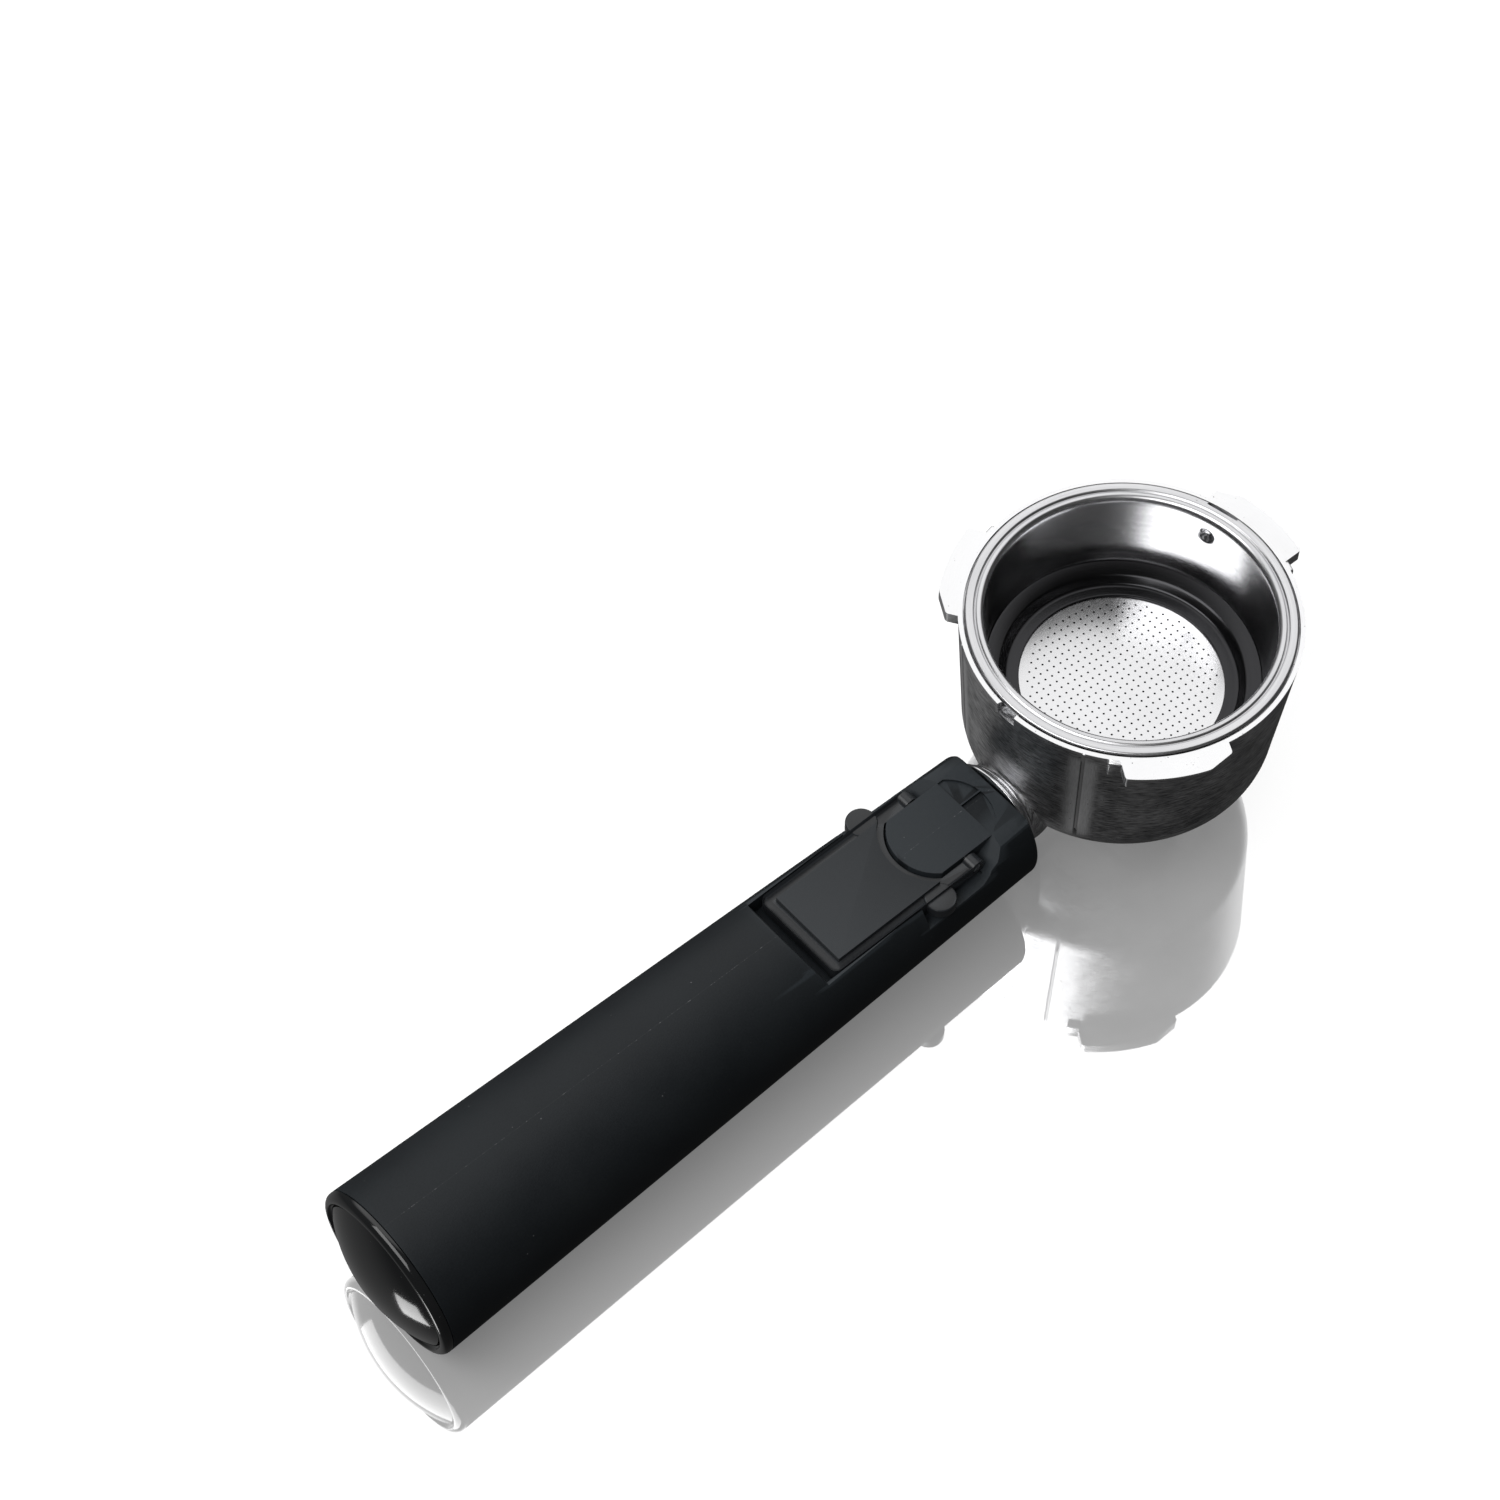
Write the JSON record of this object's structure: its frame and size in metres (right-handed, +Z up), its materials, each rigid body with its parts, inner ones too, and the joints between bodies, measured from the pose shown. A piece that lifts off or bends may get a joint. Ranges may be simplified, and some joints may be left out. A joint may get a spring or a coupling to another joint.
{
  "type": "portafilter",
  "caption": "Coffee portafilter: cast cup with bayonet lugs, lift-out perforated basket, double spout, round black handle with a flip-over basket clamp.",
  "frame": {"origin": "on the cup's axis, in the plane of the spout's flat underside, which it stands on", "axes": "+Z up along the cup's axis, +X along the handle away from the cup, +Y completes a right-handed frame, across the handle"},
  "size_m": [0.2119, 0.0665, 0.05],
  "materials": {
    "cast_metal": "die-cast, turned and brushed round, with a flash line",
    "basket_steel": "satin drawn stainless steel",
    "inner_plastic": "moulded, fine texture",
    "seal_rubber": "moulded black rubber",
    "small_steel": "turned steel",
    "spout_plastic": "moulded, low sheen",
    "ferrule_chrome": "polished, turned steps",
    "grip_plastic": "soft-touch matte with a faint mould line",
    "end_gloss": "high gloss",
    "lever_plastic": "satin moulded edge",
    "pad_plastic": "fine-grained matte"
  },
  "bodies": {
    "holder": {"cup_casting": "cast_metal", "frother_insert": "inner_plastic", "frother_gasket": "seal_rubber", "outlet_bolt": "small_steel", "outlet_seal": "seal_rubber", "outlet_gasket": "seal_rubber", "spout_body": "spout_plastic", "neck_ferrule": "ferrule_chrome", "handle_grip": "grip_plastic", "handle_stud": "small_steel", "grip_washer": "small_steel", "grip_lock_washer": "small_steel", "grip_nut": "small_steel", "end_ring": "end_gloss", "end_cap": "end_gloss", "lever_pin": "small_steel", "valve_spring": "small_steel"},
    "basket": {"basket_shell": "basket_steel", "basket_floor": "basket_steel"},
    "lever": {"lever_frame": "lever_plastic", "lever_pad": "pad_plastic"},
    "valve": {"valve_plunger": "small_steel"}
  },
  "joints": [
    {"name": "basket_lift", "type": "slide", "parent": "holder", "child": "basket", "axis": [0, 0, 1], "range_m": [0, 0.03]},
    {"name": "lever_flip", "type": "hinge", "parent": "holder", "child": "lever", "pos_m": [0.0455, 0, 0.0242], "axis": [0, -1, 0], "range_deg": [0, 114]},
    {"name": "valve_open", "type": "slide", "parent": "holder", "child": "valve", "axis": [0, 0, -1], "range_m": [0, 0.0015], "stiffness_N_per_m": 600, "deforming": ["valve_spring"]}
  ]
}
